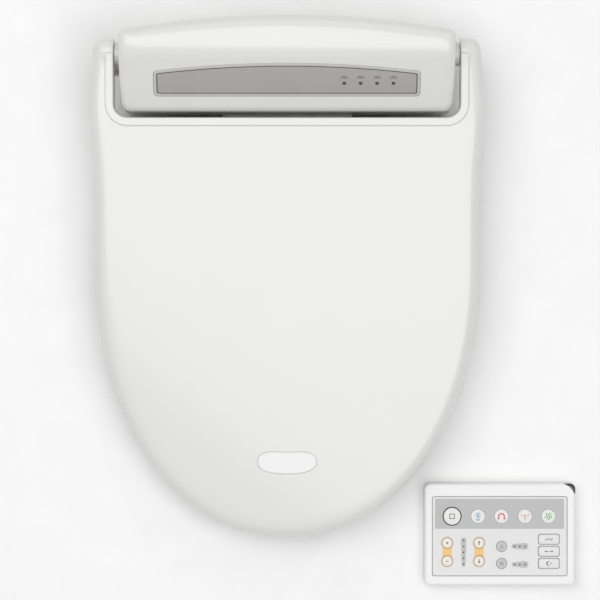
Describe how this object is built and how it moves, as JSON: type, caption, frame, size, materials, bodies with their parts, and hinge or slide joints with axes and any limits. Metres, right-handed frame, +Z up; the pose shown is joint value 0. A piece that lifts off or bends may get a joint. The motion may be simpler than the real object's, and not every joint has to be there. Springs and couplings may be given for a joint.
{
  "type": "electric bidet seat",
  "caption": "Heated washing toilet seat: hinged lid and ring on a control box with a sliding spray nozzle and warm-air dryer, and a handset with press keys.",
  "frame": {"origin": "midpoint between the two bowl bolts, on the underside of the mounting bracket, in the plane of the bowl's rim", "axes": "+Z up, +Y towards the wall behind the seat, so the seat's nose points to -Y, +X to the right of a viewer who faces the seat"},
  "size_m": [0.4933, 0.5765, 0.14],
  "materials": {
    "white_gloss": "smooth glossy moulded",
    "white_matt": "fine matt moulded",
    "panel_grey": "smooth semi-gloss",
    "rim_grey": "satin",
    "dark_plastic": "satin",
    "black_gloss": "polished, dark tinted",
    "rubber_grey": "matt",
    "steel": "brushed",
    "brass": "machined",
    "board_green": "lacquered board",
    "foil": "dull foil",
    "key_grey": "satin",
    "cell_sleeve": "printed film sleeve"
  },
  "bodies": {
    "base": {"base_tray": "white_matt", "top_cover": "white_gloss", "panel_bezel": "rim_grey", "panel_window": "panel_grey", "indicator_strip": "dark_plastic", "mounting_bracket": "white_matt", "seat_damper": "steel", "lid_damper": "steel", "main_board": "board_green", "water_tank": "white_matt", "tank_heater": "steel", "water_inlet": "brass", "inlet_valve": "dark_plastic", "air_pump": "dark_plastic", "flow_selector": "white_matt", "cord_gland": "rubber_grey", "nozzle_guide": "white_matt", "nozzle_motor": "steel", "blower_housing": "dark_plastic", "blower_motor": "steel", "dryer_duct": "white_matt"},
    "seat": {"seat_top": "white_gloss", "seat_underside": "white_matt", "seat_heater": "foil", "seat_bumper_front_left": "rubber_grey", "seat_bumper_front_right": "rubber_grey", "seat_bumper_rear_left": "rubber_grey", "seat_bumper_rear_right": "rubber_grey"},
    "lid": {"lid_shell": "white_gloss", "lid_badge": "white_matt", "lid_bumper_left": "rubber_grey", "lid_bumper_right": "rubber_grey"},
    "nozzle": {"nozzle_barrel": "steel", "nozzle_rack": "white_matt"},
    "pinion": {"nozzle_pinion": "white_matt"},
    "impeller": {"blower_impeller": "white_matt"},
    "flap": {"dryer_flap": "white_matt"},
    "release": {"release_button": "white_gloss"},
    "remote": {"remote_back": "white_matt", "remote_front": "white_gloss", "remote_window": "black_gloss", "remote_pad": "white_matt", "remote_board": "board_green", "battery_upper": "cell_sleeve", "battery_lower": "cell_sleeve"},
    "door": {"battery_door": "white_matt"},
    "stop_key": {"key_stop": "white_gloss"},
    "rear_wash_key": {"key_rear_wash": "white_gloss"},
    "front_wash_key": {"key_front_wash": "white_gloss"},
    "auto_wash_key": {"key_auto_wash": "white_gloss"},
    "dryer_key": {"key_dryer": "white_gloss"},
    "pressure_up_key": {"key_pressure_up": "white_gloss"},
    "pressure_down_key": {"key_pressure_down": "white_gloss"},
    "nozzle_forward_key": {"key_nozzle_forward": "white_gloss"},
    "nozzle_back_key": {"key_nozzle_back": "white_gloss"},
    "water_heat_key": {"key_water_heat": "key_grey"},
    "seat_heat_key": {"key_seat_heat": "key_grey"},
    "massage_key": {"key_massage": "white_gloss"},
    "moving_key": {"key_moving": "white_gloss"},
    "energy_saving_key": {"key_energy_saving": "white_gloss"}
  },
  "joints": [
    {"name": "seat_hinge", "type": "hinge", "parent": "base", "child": "seat", "pos_m": [0, 0.015, 0.086], "axis": [-1, 0, 0], "range_deg": [0, 95]},
    {"name": "lid_hinge", "type": "hinge", "parent": "seat", "child": "lid", "pos_m": [0, 0.015, 0.086], "axis": [-1, 0, 0], "range_deg": [0, 100]},
    {"name": "nozzle_slide", "type": "slide", "parent": "base", "child": "nozzle", "axis": [0, -0.9659, -0.2588], "range_m": [0, 0.07]},
    {"name": "pinion_spin", "type": "hinge", "parent": "base", "child": "pinion", "pos_m": [0.01325, -0.02728, 0.03234], "axis": [0, -0.2588, 0.9659], "range_deg": [0, 670]},
    {"name": "impeller_spin", "type": "hinge", "parent": "base", "child": "impeller", "pos_m": [0.112, 0, 0.02], "axis": [0, 0, 1], "continuous": true},
    {"name": "dryer_flap_hinge", "type": "hinge", "parent": "base", "child": "flap", "pos_m": [0.041, -0.0935, 0.0233], "axis": [-1, 0, 0], "range_deg": [0, 60]},
    {"name": "release_press", "type": "slide", "parent": "base", "child": "release", "axis": [-1, 0, 0], "range_m": [0, 0.004], "stiffness_N_per_m": 400, "springref_m": -0.002},
    {"name": "remote_lift", "type": "slide", "parent": "base", "child": "remote", "axis": [0, 0, 1], "range_m": [0, 0.3]},
    {"name": "battery_door_slide", "type": "slide", "parent": "remote", "child": "door", "axis": [0, -1, 0], "range_m": [0, 0.025]},
    {"name": "stop_press", "type": "slide", "parent": "remote", "child": "stop_key", "axis": [0, 0, -1], "range_m": [0, 0.0008], "stiffness_N_per_m": 100, "springref_m": -0.002},
    {"name": "rear_wash_press", "type": "slide", "parent": "remote", "child": "rear_wash_key", "axis": [0, 0, -1], "range_m": [0, 0.0008], "stiffness_N_per_m": 100, "springref_m": -0.002},
    {"name": "front_wash_press", "type": "slide", "parent": "remote", "child": "front_wash_key", "axis": [0, 0, -1], "range_m": [0, 0.0008], "stiffness_N_per_m": 100, "springref_m": -0.002},
    {"name": "auto_wash_press", "type": "slide", "parent": "remote", "child": "auto_wash_key", "axis": [0, 0, -1], "range_m": [0, 0.0008], "stiffness_N_per_m": 100, "springref_m": -0.002},
    {"name": "dryer_press", "type": "slide", "parent": "remote", "child": "dryer_key", "axis": [0, 0, -1], "range_m": [0, 0.0008], "stiffness_N_per_m": 100, "springref_m": -0.002},
    {"name": "pressure_up_press", "type": "slide", "parent": "remote", "child": "pressure_up_key", "axis": [0, 0, -1], "range_m": [0, 0.0008], "stiffness_N_per_m": 100, "springref_m": -0.002},
    {"name": "pressure_down_press", "type": "slide", "parent": "remote", "child": "pressure_down_key", "axis": [0, 0, -1], "range_m": [0, 0.0008], "stiffness_N_per_m": 100, "springref_m": -0.002},
    {"name": "nozzle_forward_press", "type": "slide", "parent": "remote", "child": "nozzle_forward_key", "axis": [0, 0, -1], "range_m": [0, 0.0008], "stiffness_N_per_m": 100, "springref_m": -0.002},
    {"name": "nozzle_back_press", "type": "slide", "parent": "remote", "child": "nozzle_back_key", "axis": [0, 0, -1], "range_m": [0, 0.0008], "stiffness_N_per_m": 100, "springref_m": -0.002},
    {"name": "water_heat_press", "type": "slide", "parent": "remote", "child": "water_heat_key", "axis": [0, 0, -1], "range_m": [0, 0.0008], "stiffness_N_per_m": 100, "springref_m": -0.002},
    {"name": "seat_heat_press", "type": "slide", "parent": "remote", "child": "seat_heat_key", "axis": [0, 0, -1], "range_m": [0, 0.0008], "stiffness_N_per_m": 100, "springref_m": -0.002},
    {"name": "massage_press", "type": "slide", "parent": "remote", "child": "massage_key", "axis": [0, 0, -1], "range_m": [0, 0.0008], "stiffness_N_per_m": 100, "springref_m": -0.002},
    {"name": "moving_press", "type": "slide", "parent": "remote", "child": "moving_key", "axis": [0, 0, -1], "range_m": [0, 0.0008], "stiffness_N_per_m": 100, "springref_m": -0.002},
    {"name": "energy_saving_press", "type": "slide", "parent": "remote", "child": "energy_saving_key", "axis": [0, 0, -1], "range_m": [0, 0.0008], "stiffness_N_per_m": 100, "springref_m": -0.002}
  ],
  "couplings": [
    {"joint": "pinion_spin", "follows": "nozzle_slide", "rad_per_m": 166.67}
  ]
}
